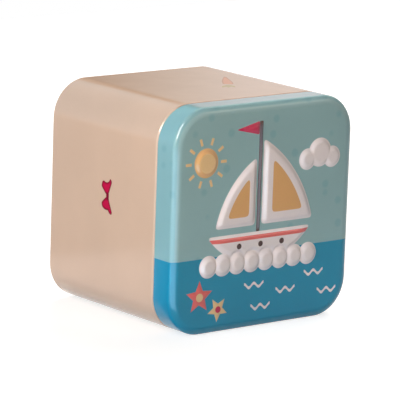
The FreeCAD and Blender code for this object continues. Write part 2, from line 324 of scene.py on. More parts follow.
def pennant():
    hoist = MAST_U - MAST_WIDTH / 2
    fly = (hoist - PENNANT_LENGTH, MAST_TOP - PENNANT_HOIST / 2)
    return polygon(fly, (hoist, MAST_TOP - PENNANT_HOIST), (hoist, MAST_TOP), blend=PENNANT_ROUND)


def mast():
    middle = (DECK + MAST_TOP) / 2
    half_length = (MAST_TOP - DECK) / 2
    return highest(abs(U - MAST_U) - MAST_WIDTH / 2, abs(V - middle) - half_length, blend=MAST_ROUND)


def foam():
    """A row of round lobes, folded about its middle and then about each lobe."""
    across = abs(U - HULL_U)
    last = FOAM_PITCH * (FOAM_COUNT - 1) / 2
    to_lobe = Field("MAXIMUM", FOAM_PITCH / 2 - Field("PINGPONG", across, FOAM_PITCH / 2), across - last)
    return distance(to_lobe, V - FOAM_V) - FOAM_RADIUS


def cloud():
    puffs = [disc(CLOUD_U + side * PUFF_U, CLOUD_V - PUFF_DROP, PUFF_RADIUS) for side in (-1, 1)]
    return lowest(disc(CLOUD_U, CLOUD_V, CLOUD_RADIUS), *puffs)


def portholes():
    places = [HULL_U + step * PORTHOLE_PITCH for step in (-1, 0, 1)]
    return lowest(*[disc(place, DECK - PORTHOLE_DROP, PORTHOLE_RADIUS) for place in places])


def wavelets():
    return lowest(*[wavelet(u, v, WAVELET_LENGTH, WAVELET_SWING, WAVELET_WIDTH) for u, v in WAVELET_PLACES])


MAST = mast()
MAINSAIL = mainsail()
JIB = jib()
HULL = hull()
PENNANT = pennant()
FOAM = foam()
CLOUD = cloud()
SUN = disc(SUN_U, SUN_V, SUN_RADIUS)
CORAL_STAR = star(*CORAL_STAR_PLACE, CORAL_STAR_TIP, CORAL_STAR_VALLEY, STAR_ARMS, CORAL_STAR_TURN)
CREAM_STAR = star(*CREAM_STAR_PLACE, CREAM_STAR_TIP, CREAM_STAR_VALLEY, STAR_ARMS, CREAM_STAR_TURN)

# Printed layers of the lid, from the lowest: each shape with its colour
LID_LAYERS = [
    (sun_rays(SUN_U, SUN_V, RAY_INNER, RAY_OUTER, RAY_WIDTH, RAY_COUNT), CREAM),
    (SUN, TAN),
    (SUN + SUN_BORDER, CREAM),
    (CLOUD, WHITE),
    (MAST, BROWN),
    (MAINSAIL, WHITE),
    (MAINSAIL + MAIN_BORDER, TAN),
    (JIB, WHITE),
    (JIB + JIB_BORDER, TAN),
    (PENNANT, CRIMSON),
    (HULL, WHITE),
    (highest(HULL, abs(V - DECK + STRIPE_DROP) - STRIPE_WIDTH / 2), CORAL),
    (portholes(), BROWN),
    (FOAM, WHITE),
    (wavelets(), WHITE),
    (CORAL_STAR, CORAL),
    (disc(*CORAL_STAR_PLACE, CORAL_STAR_EYE), CREAM),
    (CREAM_STAR, CREAM),
    (disc(*CREAM_STAR_PLACE, CREAM_STAR_EYE), CRIMSON),
]

# The relief: each pressed shape with its height and the width of its slope. The hull lies behind the foam.
EMBOSS_RAMP = 2.4
RAISED = [
    (MAST, 0.6, 0.9),
    (MAINSAIL, 1.15, EMBOSS_RAMP),
    (JIB, 1.15, EMBOSS_RAMP),
    (PENNANT, 1.0, 1.6),
    (SUN, 1.1, EMBOSS_RAMP),
    (CLOUD, 1.1, EMBOSS_RAMP),
    (lowest(CORAL_STAR, CREAM_STAR), 0.35, 1.2),
]
HULL_RISE = 1.1
GROOVE_WIDTH = 1.5


def swell(inside, ramp):
    """From 0 at an outline to 1 at the ramp's width inside it, rounded at both ends."""
    t = np.clip(inside / ramp, 0, 1)
    return t * t * (3 - 2 * t)


def relief(u, v):
    """How far the lid's panel is pressed out, in millimetres."""
    height = np.zeros_like(u)
    for shape, rise, ramp in RAISED:
        height = np.maximum(height, rise * swell(-numbers(shape, u, v), ramp))
    foam_edge = numbers(FOAM, u, v)
    groove = swell(foam_edge, GROOVE_WIDTH)
    height = np.maximum(height, HULL_RISE * swell(-numbers(HULL, u, v), EMBOSS_RAMP) * groove)
    return np.maximum(height, RELIEF_HEIGHT * swell(-foam_edge, EMBOSS_RAMP))


# Mesh tools


def normals_of(points):
    """Outward directions across the tin, at points on any inset of its outline about its middle."""
    past = np.maximum(np.abs(points) - REACH, 0)
    return np.sign(points) * past / np.linalg.norm(past, axis=1, keepdims=True)


def tin_outline(side_stops, corner_steps):
    """The tin's outline about its middle, anticlockwise from the bottom left, as points (x, z).

    side_stops gives each side's points, from -1 to 1, from the bottom side on.
    """
    points = []
    for turn, stops in enumerate(side_stops):
        angle = turn * math.pi / 2
        cos, sin = math.cos(angle), math.sin(angle)
        local = [(stop * REACH, -HALF) for stop in stops]
        for step in range(1, corner_steps):
            bend = step / corner_steps * math.pi / 2
            local.append((REACH + CORNER_RADIUS * math.sin(bend), -REACH - CORNER_RADIUS * math.cos(bend)))
        points += [(x * cos - z * sin, x * sin + z * cos) for x, z in local]
    return np.array(points)


def arc(y, inset, radius, start, end, steps):
    """Profile points (y, inset) on an arc. At 0 degrees it points to the back, and at 90 inwards."""
    angles = np.radians(np.linspace(start, end, steps + 1))
    return [(y + radius * math.cos(angle), inset + radius * math.sin(angle)) for angle in angles]


def between(start, end, steps):
    """Profile points between two ends, without them."""
    return [tuple(np.add(start, np.subtract(end, start) * step / steps)) for step in range(1, steps)]


def swept(outline, profile):
    """The profile carried round the outline: an array of rows, columns and (x, y, z)."""
    normals = normals_of(outline)
    rows = []
    for y, inset in profile:
        across = outline - normals * inset
        rows.append(np.column_stack([across[:, 0], np.full(len(across), y), across[:, 1] + CENTRE_Z]))
    return np.array(rows)


def row_faces(rows):
    """Quads between rows of vertex numbers, each row a closed loop."""
    faces = []
    for row, following in zip(rows, rows[1:]):
        faces += list(zip(row, np.roll(row, -1), np.roll(following, -1), following))
    return faces


SHARP_DEGREES = 35.0


def make_piece(name, verts, faces, materials, face_materials):
    """A smooth mesh from points in millimetres, with creases where it turns sharply."""
    mesh = bpy.data.meshes.new(name)
    mesh.from_pydata((np.asarray(verts) * MM).tolist(), [], [tuple(int(i) for i in face) for face in faces])
    for material in materials:
        mesh.materials.append(material)
    mesh.polygons.foreach_set("material_index", face_materials)
    mesh.polygons.foreach_set("use_smooth", [True] * len(mesh.polygons))
    mesh.update()
    mesh.set_sharp_from_angle(angle=math.radians(SHARP_DEGREES))
    piece = bpy.data.objects.new(name, mesh)
    bpy.context.scene.collection.objects.link(piece)
    flats = piece.modifiers.new("flat_faces", "WEIGHTED_NORMAL")
    flats.keep_sharp = True
    return piece


# Material tools


class Shader:
    """A node material with a Principled shader, and short ways to add nodes to it."""

    def __init__(self, name):
        self.material = bpy.data.materials.new(name)
        self.material.use_nodes = True
        self.tree = self.material.node_tree
        self.surface = self.tree.nodes["Principled BSDF"]
        place = self.tree.nodes.new("ShaderNodeTexCoord")
        self.place = place.outputs["Object"]
        self.axes = self.add("ShaderNodeSeparateXYZ", Vector=self.place)

    def add(self, kind, settings=None, **inputs):
        node = self.tree.nodes.new(kind)
        for name, value in (settings or {}).items():
            setattr(node, name, value)
        for name, value in inputs.items():
            self.set(node.inputs[name.replace("_", " ")], value)
        return node

    def set(self, socket, value):
        if isinstance(value, bpy.types.NodeSocket):
            self.tree.links.new(value, socket)
        else:
            socket.default_value = value

    def math(self, operation, *values):
        node = self.add("ShaderNodeMath", {"operation": operation})
        for socket, value in zip(node.inputs, values):
            self.set(socket, value)
        return node.outputs[0]

    def millimetres(self, axis, origin=0.0, sign=1):
        """A coordinate of the piece in millimetres, counted from an origin."""
        return self.math("MULTIPLY_ADD", self.axes.outputs[axis], sign / MM, -sign * origin)

    def field(self, field, u, v, made):
        """The nodes of a field, with each part of it made once."""
        if field.kind in "UV":
            return u if field.kind == "U" else v
        if field not in made:
            terms = [self.field(t, u, v, made) if isinstance(t, Field) else t for t in field.terms]
            made[field] = self.math(field.kind, *terms)
        return made[field]

    def ramp(self, value, start, end, low=0.0, high=1.0):
        """A smooth change from low to high as the value goes from start to end."""
        node = self.add("ShaderNodeMapRange", {"interpolation_type": "SMOOTHSTEP"})
        for socket, number in zip(node.inputs, (value, start, end, low, high)):
            self.set(socket, number)
        return node.outputs["Result"]

    def noise(self, scale, detail, stretch=None):
        """Soft noise from 0 to 1, with so many waves to the metre, stretched along an axis or not."""
        where = self.place
        if stretch:
            where = self.add("ShaderNodeMapping", Vector=where, Scale=stretch).outputs["Vector"]
        node = self.add("ShaderNodeTexNoise", Vector=where, Scale=scale, Detail=detail)
        return node.outputs["Fac"]

    def mix(self, share, low, high, blend="MIX"):
        node = self.add("ShaderNodeMix", {"data_type": "RGBA", "blend_type": blend})
        for index, value in ((0, share), (6, low), (7, high)):
            self.set(node.inputs[index], value)
        return node.outputs[2]

    def bump(self, height, strength, distance):
        node = self.add("ShaderNodeBump", Strength=strength, Distance=distance, Height=height)
        self.set(self.surface.inputs["Normal"], node.outputs["Normal"])


PRINT_EDGE = 0.12

# Lacquered print, with noise in waves to the metre and depths in metres
NOISE_SPREAD = (0.3, 0.7)
INK_CLOUD_SCALE, INK_CLOUDS = 30.0, (0.975, 1.02)
INK_GRAIN_SCALE, INK_GRAIN = 4200.0, (0.98, 1.02)
SMEAR_SCALE, SMEAR_SPREAD, GLOSS_ROUGHNESS = 90.0, (0.25, 0.75), (0.12, 0.17)
GLOSS_LEVEL = 0.45
RIPPLE_SCALE, RIPPLE_DEPTH = 55.0, 0.00002

# The lid's spots, and the heights over the border between which its print changes: the picture starts there,
# and the skirt's teal gives way to a copy retuned as painted light for the front face
SPOT_SCALE, SPOT_EDGE, SPOT_SHARE = 105.0, (0.27, 0.12), 0.4
PANEL_EDGE = (0.1, 0.3)
WATER_EDGE = 0.1


def print_layers(shader, ground, layers, u, v, allow=None):
    """The layers printed over the ground, each inside its shape, and only where allow is 1."""
    made = {}
    colour = ground
    for shape, ink in layers:
        inside = shader.ramp(shader.field(shape, u, v, made), PRINT_EDGE, -PRINT_EDGE)
        if allow is not None:
            inside = shader.math("MULTIPLY", inside, allow)
        colour = shader.mix(inside, colour, ink)
    return colour


def lacquer(shader, colour):
    """A printed sheet: slightly uneven ink, a clear gloss and the faint ripple of tinplate."""
    clouds = shader.ramp(shader.noise(INK_CLOUD_SCALE, 3.0), *NOISE_SPREAD, *INK_CLOUDS)
    grain = shader.ramp(shader.noise(INK_GRAIN_SCALE, 1.0), *NOISE_SPREAD, *INK_GRAIN)
    uneven = shader.math("MULTIPLY", clouds, grain)
    shade = shader.add("ShaderNodeCombineColor", Red=uneven, Green=uneven, Blue=uneven)
    ink = shader.mix(1.0, colour, shade.outputs["Color"], "MULTIPLY")
    shader.set(shader.surface.inputs["Base Color"], ink)
    rough = shader.ramp(shader.noise(SMEAR_SCALE, 4.0), *SMEAR_SPREAD, *GLOSS_ROUGHNESS)
    shader.set(shader.surface.inputs["Roughness"], rough)
    shader.surface.inputs["Specular IOR Level"].default_value = GLOSS_LEVEL
    shader.bump(shader.noise(RIPPLE_SCALE, 1.0), 1.0, RIPPLE_DEPTH)


def lid_material():
    shader = Shader("printed_lid")
    u = shader.millimetres("X")
    v = shader.millimetres("Z", CENTRE_Z)
    y = shader.millimetres("Y")
    solid = {"voronoi_dimensions": "3D"}
    spots = shader.add("ShaderNodeTexVoronoi", solid, Vector=shader.place, Scale=SPOT_SCALE)
    spotted = shader.math("MULTIPLY", shader.ramp(spots.outputs["Distance"], *SPOT_EDGE), SPOT_SHARE)
    on_panel = shader.ramp(y, BORDER_Y - PANEL_EDGE[0], BORDER_Y - PANEL_EDGE[1])
    # The panel takes the retuned teal, which paints the front face's light
    sky = shader.mix(spotted, shader.mix(on_panel, TEAL, PANEL_TEAL_PAINTED_LIGHT), TEAL_SPOT)
    ground = shader.mix(shader.ramp(v, WATERLINE + WATER_EDGE, WATERLINE - WATER_EDGE), sky, BLUE)
    lacquer(shader, print_layers(shader, ground, LID_LAYERS, u, v, on_panel))
    return shader.material


# A ribbon bow on each side, in millimetres: u from the bow's middle towards the lid or the back, and v up
BOW_MIDDLE_Y = 3.6
BOW_UPPER = ((-0.7, 55.4), (1.2, 56.0), (3.4, 61.5), (2.4, 62.8), (-3.6, 61.0), (-4.2, 58.6))
BOW_NOTCH, BOW_NOTCH_RADIUS = (-0.7, 63.4), 2.6
BOW_LOWER = ((-0.7, 54.3), (-3.9, 51.5), (-3.6, 49.7), (-1.6, 48.5), (1.6, 48.5), (2.3, 51.0), (1.1, 54.2))
BOW_TAIL = ((-0.2, 49.6), (2.0, 47.2), (3.4, 46.9), (4.0, 48.0), (2.5, 51.0), (1.2, 53.8))
BOW_KNOT = ((-0.7, 54.3), (-0.3, 53.2), (1.2, 53.2), (1.4, 55.0), (1.2, 56.4), (-0.6, 56.0))
BOW_OUTLINE, BOW_SHADE, KNOT_SHADE = 0.4, 0.9, 0.4
UPPER_ROUND, NOTCH_ROUND, LOWER_ROUND, TAIL_ROUND, KNOT_ROUND = 0.9, 0.5, 1.0, 0.6, 0.5


def bow_layers():
    notch = BOW_NOTCH_RADIUS - distance(U - BOW_NOTCH[0], V - BOW_NOTCH[1])
    upper = highest(polygon(*BOW_UPPER, blend=UPPER_ROUND), notch, blend=NOTCH_ROUND)
    lower = polygon(*BOW_LOWER, blend=LOWER_ROUND)
    tail = polygon(*BOW_TAIL, blend=TAIL_ROUND)
    knot = polygon(*BOW_KNOT, blend=KNOT_ROUND)
    bow = lowest(upper, lower, tail)
    return [
        (lowest(bow, knot), DARK_CRIMSON),
        (highest(bow + BOW_OUTLINE, -knot), DEEP_CRIMSON),
        (highest(bow + BOW_SHADE, KNOT_SHADE - knot), CRIMSON),
    ]


# A carrot on the top, in millimetres and degrees: its crown, the way to its tip, and its leaves
CARROT_CROWN, CARROT_TURN = (13.5, 0.0), 56.3
CARROT_BODY = ((0.0, -2.1), (4.0, -2.6), (19.6, -0.6), (20.2, 0.4), (8.0, 2.6), (0.0, 2.6))
CARROT_OUTLINE, CARROT_ROUND = 0.6, 1.4
LEAF_ROOT = (12.5, -1.2)
LEAVES = ((211.0, 8.4), (230.0, 7.6), (256.0, 7.0))
LEAF_STEM, LEAF_WIDTH, LEAF_BROADEST, LEAF_ROUND = 1.0, 2.6, 0.6, 0.8


def carrot_leaf(degrees, length):
    along, across = turned(*LEAF_ROOT, degrees)
    stem, half = LEAF_STEM / 2, LEAF_WIDTH / 2
    broad = length * LEAF_BROADEST
    corners = ((0.0, -stem), (broad, -half), (length, 0.0), (broad, half), (0.0, stem))
    return polygon(*corners, blend=LEAF_ROUND, u=along, v=across)


def carrot_layers():
    along, across = turned(*CARROT_CROWN, CARROT_TURN)
    body = polygon(*CARROT_BODY, blend=CARROT_ROUND, u=along, v=across)
    leaves = lowest(*[carrot_leaf(degrees, length) for degrees, length in LEAVES])
    return [(leaves, LEAF), (body, RUST), (body + CARROT_OUTLINE, ORANGE)]


# How far inside the wall's flat sides their print starts and is full, in millimetres
SIDE_PRINT = (2.0, 1.0)
# Painted shade under the lid's hem on the top, and a painted highlight along the shoulder on the other
# sides: millimetres from the shoulder, and the full share of colour
PAINTED_HEM_SHADE_START, PAINTED_HEM_SHADE_FULL, PAINTED_HEM_SHADE_SHARE = 0.9, 0.3, 0.5
PAINTED_SHOULDER_HIGHLIGHT_START, PAINTED_SHOULDER_HIGHLIGHT_FULL, PAINTED_SHOULDER_HIGHLIGHT_SHARE = 1.1, 0.5, 0.2


def wall_material():
    shader = Shader("printed_wall")
    x = shader.millimetres("X")
    y = shader.millimetres("Y")
    z = shader.millimetres("Z")
    start, full = SIDE_PRINT
    on_left = shader.ramp(x, -HALF + start, -HALF + full)
    on_right = shader.ramp(x, HALF - start, HALF - full)
    on_top = shader.ramp(z, 2 * HALF - start, 2 * HALF - full)
    leftward = shader.millimetres("Y", BOW_MIDDLE_Y, -1)
    rightward = shader.millimetres("Y", BOW_MIDDLE_Y)
    colour = print_layers(shader, BEIGE, bow_layers(), leftward, z, on_left)
    colour = print_layers(shader, colour, bow_layers(), rightward, z, on_right)
    colour = print_layers(shader, colour, carrot_layers(), x, y, on_top)
    # Painted shade: darker beige under the lid's hem, on the top only
    crease = shader.ramp(y, SHOULDER + PAINTED_HEM_SHADE_START, SHOULDER + PAINTED_HEM_SHADE_FULL, 0.0, PAINTED_HEM_SHADE_SHARE)
    colour = shader.mix(shader.math("MULTIPLY", crease, on_top), colour, PAINTED_HEM_SHADE)
    beside = shader.math("SUBTRACT", 1.0, on_top)
    # Painted highlight: a lighter line along the shoulder on the sides, not on the top
    painted_highlight = shader.ramp(y, SHOULDER + PAINTED_SHOULDER_HIGHLIGHT_START, SHOULDER + PAINTED_SHOULDER_HIGHLIGHT_FULL, 0.0, PAINTED_SHOULDER_HIGHLIGHT_SHARE)
    lacquer(shader, shader.mix(shader.math("MULTIPLY", painted_highlight, beside), colour, PAINTED_SHOULDER_HIGHLIGHT))
    return shader.material


# Bare tinplate, in the units of the print
TIN_DARK = rgb(198, 196, 191)
TIN_LIGHT = rgb(212, 211, 207)
TIN_CLOUD_SCALE = 30.0
ROLLED_SCALE, ROLLED_STRETCH = 2400.0, 0.01
TIN_ROUGHNESS = (0.3, 0.36)
ROLLED_STRENGTH, ROLLED_DEPTH = 0.05, 0.00002


def tin_material(name, rolled):
    """Bare tinplate: a satin shine with fine lines along the way that the sheet was rolled."""
    shader = Shader(name)
    stretch = tuple(ROLLED_STRETCH if axis == rolled else 1.0 for axis in "XYZ")
    lines = shader.noise(ROLLED_SCALE, 2.0, stretch)
    colour = shader.mix(shader.noise(TIN_CLOUD_SCALE, 3.0), TIN_DARK, TIN_LIGHT)
    shader.set(shader.surface.inputs["Base Color"], colour)
    shader.surface.inputs["Metallic"].default_value = 1.0
    shader.set(shader.surface.inputs["Roughness"], shader.ramp(lines, *NOISE_SPREAD, *TIN_ROUGHNESS))
    shader.bump(lines, ROLLED_STRENGTH, ROLLED_DEPTH)
    return shader.material


# The lid: the panel's inset in millimetres, its grid, and the turn of the edge's bend in degrees
PANEL_INSET = 4.2
PANEL_SIDE_STEPS = 112
PANEL_CORNER_STEPS = 22
CROWN_TURN = 60.0


def panel_grid():
    """Points over the raised panel, as a square grid drawn into its rounded outline about its middle."""
    corner = CORNER_RADIUS - PANEL_INSET
    straight = np.linspace(-REACH, REACH, PANEL_SIDE_STEPS + 1)
    rounded = REACH + corner * np.arange(1, PANEL_CORNER_STEPS + 1) / PANEL_CORNER_STEPS
    stops = np.concatenate([-rounded[::-1], straight, rounded])
    u, v = np.meshgrid(stops, stops, indexing="ij")
    past_u = np.maximum(np.abs(u) - REACH, 0) / corner
    past_v = np.maximum(np.abs(v) - REACH, 0) / corner
    x = np.sign(u) * (np.minimum(np.abs(u), REACH) + corner * past_u * np.sqrt(1 - past_v ** 2 / 2))
    z = np.sign(v) * (np.minimum(np.abs(v), REACH) + corner * past_v * np.sqrt(1 - past_u ** 2 / 2))
    return x, z


def step_rows(start, end, slope, steps):
    """A pressed step: profile points from start, which is left at a slope, to end, where it lies flat."""
    (y_from, inset_from), (y_to, inset_to) = start, end
    run = inset_to - inset_from
    rows = []
    for t in np.linspace(0, 1, steps + 1):
        y = y_from + (y_to - y_from) * (3 * t ** 2 - 2 * t ** 3) + slope * run * (t - 2 * t ** 2 + t ** 3)
        rows.append((y, inset_from + run * t))
    return rows


def crown_rows(radius, y_to):
    """The lid's edge: a bend from the skirt, and a long soft rise up to the flat panel."""
    rows = arc(BORDER_Y + EDGE_RADIUS, EDGE_RADIUS, radius, 270, 270 - CROWN_TURN, steps=9)
    slope = -1 / math.tan(math.radians(CROWN_TURN))
    rows += step_rows(rows[-1], (y_to, PANEL_INSET), slope, steps=14)[1:-1]
    return rows


def lid_profile():
    """The rows inside, from behind the panel to the hem's roll, and outside, from the roll to the panel."""
    curl_y = HEM - CURL_RADIUS
    bend_y = BORDER_Y + EDGE_RADIUS
    inside = crown_rows(EDGE_RADIUS - PLATE, PANEL_Y + PLATE)[::-1]
    inside += between((bend_y, PLATE), (curl_y, PLATE), steps=4)
    inside += arc(curl_y, CURL_RADIUS, CURL_RADIUS - PLATE, -90, 180, steps=8)
    outside = arc(curl_y, CURL_RADIUS, CURL_RADIUS, 180, -90, steps=12)
    outside += between((curl_y, 0), (bend_y, 0), steps=6)
    outside += crown_rows(EDGE_RADIUS, PANEL_Y)
    return inside, outside


def make_lid():
    """The panel's front and back grids, joined by rings of points round the edge and skirt."""
    x, z = panel_grid()
    size = len(x)
    front = np.stack([x, PANEL_Y - relief(x, z), z + CENTRE_Z], axis=-1)
    back = front + np.array([0, PLATE, 0])
    ids = np.arange(size * size).reshape(size, size)
    rim = np.concatenate([ids[:-1, 0], ids[-1, :-1], ids[:0:-1, -1], ids[0, :0:-1]])
    edge = np.column_stack([x.ravel()[rim], z.ravel()[rim]])
    outline = edge + normals_of(edge) * PANEL_INSET
    inside, outside = lid_profile()
    rings = swept(outline, inside + outside)
    count = len(outline)
    verts = np.concatenate([front.reshape(-1, 3), back.reshape(-1, 3), rings.reshape(-1, 3)])
    ring_ids = np.arange(rings.size // 3).reshape(-1, count) + 2 * size * size
    quads = np.stack([ids[:-1, :-1], ids[1:, :-1], ids[1:, 1:], ids[:-1, 1:]], axis=-1).reshape(-1, 4)
    faces = quads.tolist() + (quads[:, ::-1] + size * size).tolist()
    faces += row_faces([rim + size * size, *ring_ids, rim])
    plain = np.zeros(len(faces), dtype=int)
    plain[len(quads):2 * len(quads) + (len(inside) + 1) * count] = 1
    materials = [lid_material(), tin_material("lid_inside", "X")]
    piece = make_piece("lid_shell", verts, faces, materials, plain)
    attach(piece, "lid")
    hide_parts("lid")
    return piece


# The wall: steps along a side and round a corner, and the points across its lock seam, in millimetres
WALL_STEPS = 16
WALL_CORNER_STEPS = 18
SEAM_RAMP = 0.05
SEAM_FADE = 0.1
GROOVE_BANK = 0.04
SEAM_HALF = LOCK_SEAM_WIDTH / 2
GROOVE_FAR = SEAM_HALF + LOCK_SEAM_GROOVE
SEAM_STOPS = (-GROOVE_FAR - SEAM_FADE, -GROOVE_FAR + GROOVE_BANK, -SEAM_HALF - GROOVE_BANK,
              -SEAM_HALF + SEAM_FADE, SEAM_HALF - SEAM_FADE, SEAM_HALF)


def wall_profile():
    """The printed rows, from the folded return round the back rim and along the wall to the mouth's hem,
    and the plain rows inside, back to the return. Each row is (y, inset, 1 where the lock seam shows).
    """
    fold = FOLD_INSET / 2
    shoulder_y = SHOULDER + SHOULDER_RADIUS
    inner_neck = NECK_INSET + PLATE
    root = PLATE
    wall = between((BACK - fold, 0), (shoulder_y, 0), steps=20)
    printed = [(BACK - RETURN_REACH, FOLD_INSET, 0)]
    printed += [(*row, 0) for row in arc(BACK - fold, fold, fold, 90, -90, steps=14)]
    printed += [(*row, 1) for row in wall]
    bend = arc(shoulder_y, SHOULDER_RADIUS, SHOULDER_RADIUS, 270, 180, steps=8)
    bend += arc(SHOULDER - root, NECK_INSET - root, root, 0, 90, steps=5)
    bend += between((SHOULDER - root, NECK_INSET), (MOUTH + PLATE, NECK_INSET), steps=5)
    bend += arc(MOUTH + PLATE, NECK_INSET + PLATE, PLATE, 270, 90, steps=10)
    bend += [(MOUTH + MOUTH_HEM, NECK_INSET + 2 * PLATE)]
    printed += [(*row, 0) for row in bend]
    seam_back = BACK - BASE_RECESS - PLATE - RETURN_GAP
    strip = [(shoulder_y + SEAM_RAMP, PLATE)]
    strip += between((shoulder_y, PLATE), (seam_back, PLATE), steps=20)
    strip += [(seam_back - SEAM_RAMP, PLATE)]
    plain = [(MOUTH + MOUTH_HEM, inner_neck, 0), (SHOULDER + PLATE, inner_neck, 0)]
    inner_bend = arc(shoulder_y, SHOULDER_RADIUS, SHOULDER_RADIUS - PLATE, 180, 270, steps=6)
    plain += [(*row, 0) for row in inner_bend]
    plain += [(*row, 1) for row in strip]
    plain += [(seam_back, PLATE, 0), (BACK - PLATE, PLATE, 0), (BACK - PLATE, FOLD_INSET - PLATE, 0),
              (BACK - RETURN_REACH, FOLD_INSET - PLATE, 0)]
    return printed, plain


def make_wall():
    """A closed band of rows round the tin, with the lock seam pressed into the rows of its bottom side."""
    printed, plain = wall_profile()
    stops = np.linspace(-1, 1, WALL_STEPS + 1)
    bottom_stops = np.unique(np.concatenate([stops, np.array(SEAM_STOPS) / REACH]))
    outline = tin_outline([bottom_stops, stops, stops, stops], WALL_CORNER_STEPS)
    on_bottom = np.isclose(outline[:, 1], -HALF)
    half_groove = LOCK_SEAM_GROOVE / 2
    groove = on_bottom & (np.abs(outline[:, 0] + SEAM_HALF + half_groove) < half_groove)
    strip = on_bottom & (np.abs(outline[:, 0]) < SEAM_HALF - SEAM_RAMP)
    rows = swept(outline, [row[:2] for row in printed + plain])
    rows[:len(printed), :, 2] += LOCK_SEAM_SINK * np.outer([row[2] for row in printed], groove)
    rows[len(printed):, :, 2] += 2 * PLATE * np.outer([row[2] for row in plain], strip)
    count = len(outline)
    ids = np.arange(len(rows) * count).reshape(-1, count)
    faces = row_faces([*ids, ids[0]])
    inside = np.zeros(len(faces), dtype=int)
    inside[(len(printed) - 1) * count:] = 1
    materials = [wall_material(), tin_material("wall_inside", "Y")]
    piece = make_piece("wall_shell", rows.reshape(-1, 3), faces, materials, inside)
    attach(piece, "tin")
    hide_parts("body_wall")
    return piece


# The base: its upstand, the step down to its sunk field and the coin slot's bend, in millimetres
UPSTAND_INSET = 0.33
FIELD_STEP = 1.8
FIELD_LIP = 0.2
BASE_BEND = 0.5
SLOT_BEND = 0.9
SLOT_END_STEPS = 16
SLOT_SIDE_STEPS = 12
# What delaunay_2d_cdt gives, the triangles inside the loops, and how near two points count as one
INSIDE_LOOPS = 1
SAME_POINT = 1e-6


def base_profile():
    """Rows from the sunk field's back, out over the plate and round the upstand, to the field's front."""
    back = BACK - BASE_RECESS
    front = back - PLATE
    top = BACK - UPSTAND_INSET
    inner = UPSTAND_INSET + PLATE
    outer_bend = BASE_BEND + PLATE
    step_out = FIELD_INSET - FIELD_LIP
    step_in = step_out + FIELD_STEP
    rows = step_rows((back - FIELD_DEPTH, step_in), (back, step_out), slope=0.0, steps=8)
    rows += arc(back + BASE_BEND, inner + BASE_BEND, BASE_BEND, 180, 270, steps=5)
    rows += arc(top - PLATE / 2, UPSTAND_INSET + PLATE / 2, PLATE / 2, 90, -90, steps=6)
    rows += arc(front + outer_bend, inner + BASE_BEND, outer_bend, 270, 180, steps=6)
    rows += step_rows((front, step_out), (front - FIELD_DEPTH, step_in), slope=0.0, steps=8)
    return rows


def slot_rings(profile):
    """The profile (y, gap) carried round the coin slot, anticlockwise seen from the front."""
    half = (SLOT_LENGTH - SLOT_WIDTH) / 2
    spots = []
    for side in (1, -1):
        for x in np.linspace(-half, half, SLOT_SIDE_STEPS, endpoint=False):
            spots.append((side * x, 0.0, -side))
        for angle in np.linspace(-math.pi / 2, math.pi / 2, SLOT_END_STEPS, endpoint=False):
            spots.append((side * half, side * math.cos(angle), side * math.sin(angle)))
    spots = np.array(spots)
    rings = []
    for y, gap in profile:
        reach = SLOT_WIDTH / 2 + gap
        x = spots[:, 0] + spots[:, 1] * reach
        z = spots[:, 2] * reach + CENTRE_Z + HALF - SLOT_DROP
        rings.append(np.column_stack([x, np.full(len(x), y), z]))
    return np.array(rings)


def slot_profile():
    """From the field's back, over the bend into the collar, round its end and back to the field's front."""
    back = BACK - BASE_RECESS - FIELD_DEPTH
    front = back - PLATE
    end = front - SLOT_COLLAR
    rows = arc(back - SLOT_BEND, SLOT_BEND, SLOT_BEND, 0, -90, steps=6)
    rows += arc(end + PLATE / 2, PLATE / 2, PLATE / 2, 270, 90, steps=6)
    rows += arc(back - SLOT_BEND, SLOT_BEND, SLOT_BEND - PLATE, -90, 0, steps=5)
    return rows


def fill_between(outer, hole):
    """Triangles of the flat sheet between an outer loop of points (x, z) and a hole, numbered in that order.

    The hole bulges outwards all round, so a triangle with no corner on the outer loop lies in the hole.
    """
    points = [Vector(point) for point in (*outer, *hole)]
    loops = [list(range(len(outer))), list(range(len(outer), len(points)))]
    edges = [(loop[i - 1], loop[i]) for loop in loops for i in range(len(loop))]
    result = delaunay_2d_cdt(points, edges, [], INSIDE_LOOPS, SAME_POINT)
    origins = [origin[0] for origin in result[3]]
    triangles = [tuple(origins[i] for i in face) for face in result[2]]
    return [triangle for triangle in triangles if min(triangle) < len(outer)]


def make_base():
    """The plate's rows and the slot's rings, with the flat field filled in between them on both sides."""
    stops = np.linspace(-1, 1, WALL_STEPS + 1)
    outline = tin_outline([stops] * 4, WALL_CORNER_STEPS)
    plate = swept(outline, base_profile())
    slot = slot_rings(slot_profile())
    plate_ids = np.arange(plate.size // 3).reshape(len(plate), -1)
    slot_ids = np.arange(slot.size // 3).reshape(len(slot), -1) + plate.size // 3
    faces = row_faces(plate_ids)
    faces += [face[::-1] for face in row_faces(slot_ids)]
    triangles = fill_between(plate[0][:, [0, 2]], slot[0][:, [0, 2]])
    back_ids = np.concatenate([plate_ids[0], slot_ids[0]])
    front_ids = np.concatenate([plate_ids[-1], slot_ids[-1]])
    faces += [tuple(back_ids[list(face[::-1])]) for face in triangles]
    faces += [tuple(front_ids[list(face)]) for face in triangles]
    verts = np.concatenate([plate.reshape(-1, 3), slot.reshape(-1, 3)])
    plain = np.zeros(len(faces), dtype=int)
    piece = make_piece("base_shell", verts, faces, [tin_material("base_tin", "X")], plain)
    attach(piece, "tin")
    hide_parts("base_plate")
    return piece


lid_piece = make_lid()
wall_piece = make_wall()
make_base()


# Stage, light and camera, in metres
FLOOR_COLOUR = rgb(192, 192, 192)
FLOOR_GLOW = 0.7
FLOOR_ROUGHNESS, FLOOR_GLOSS = 0.9, 0.1
FLOOR_REACH, FLOOR_Z = 0.75, -0.0002
AMBIENT = 0.06
AMBIENT_COLOUR = (1, 0.98, 0.96, 1)
BLACK_CARD = (0.02, 0.02, 0.02, 1)


